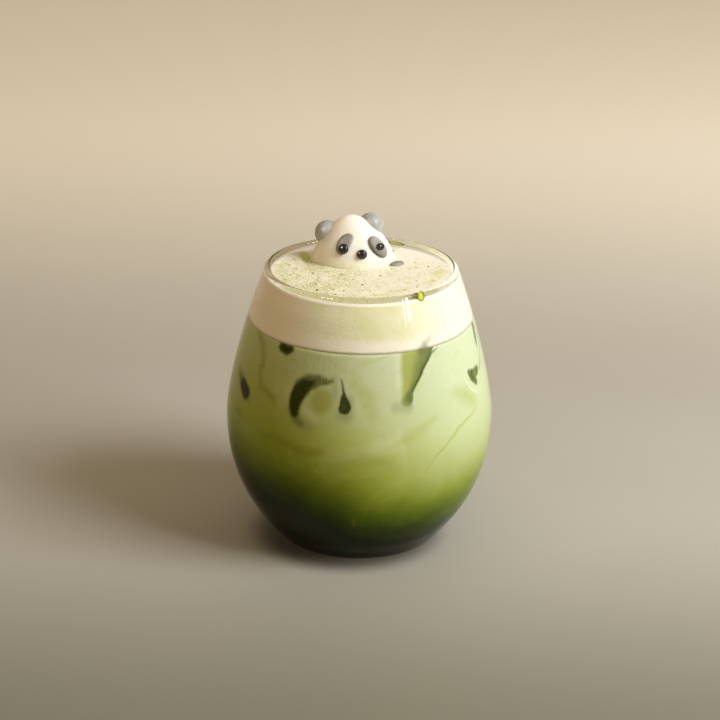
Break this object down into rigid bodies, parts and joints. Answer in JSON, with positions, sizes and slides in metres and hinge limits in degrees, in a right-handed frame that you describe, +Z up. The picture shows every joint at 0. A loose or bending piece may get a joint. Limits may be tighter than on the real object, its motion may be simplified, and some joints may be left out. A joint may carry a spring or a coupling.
{
  "type": "iced matcha latte in a stemless glass",
  "caption": "Iced matcha latte in a clear stemless glass, topped with cream foam, a dusting of matcha and a small panda figure half sunk in the foam.",
  "frame": {"origin": "middle of the glass's foot, on the table", "axes": "+Z up along the glass's axis; -Y towards the viewer, whom the panda faces; +X to the viewer's right"},
  "size_m": [0.092, 0.092, 0.1106],
  "materials": {
    "clear_glass": "clear, polished",
    "matcha_drink": "milky green liquid, pale at the top and dark green at the bottom",
    "cream_foam": "cream foam dusted with green powder",
    "white_sweet": "soft white sweet, satin",
    "grey_sweet": "grey sweet, satin",
    "black_sweet": "black sweet, glossy"
  },
  "bodies": {
    "root": {"glass": "clear_glass", "matcha_latte": "matcha_drink", "cream_foam": "cream_foam", "panda_head": "white_sweet", "panda_ear_left": "grey_sweet", "panda_ear_right": "grey_sweet", "panda_eye_patch_left": "grey_sweet", "panda_eye_patch_right": "grey_sweet", "panda_paw": "grey_sweet", "panda_eye_left": "black_sweet", "panda_eye_right": "black_sweet", "panda_nose": "black_sweet"}
  },
  "joints": []
}
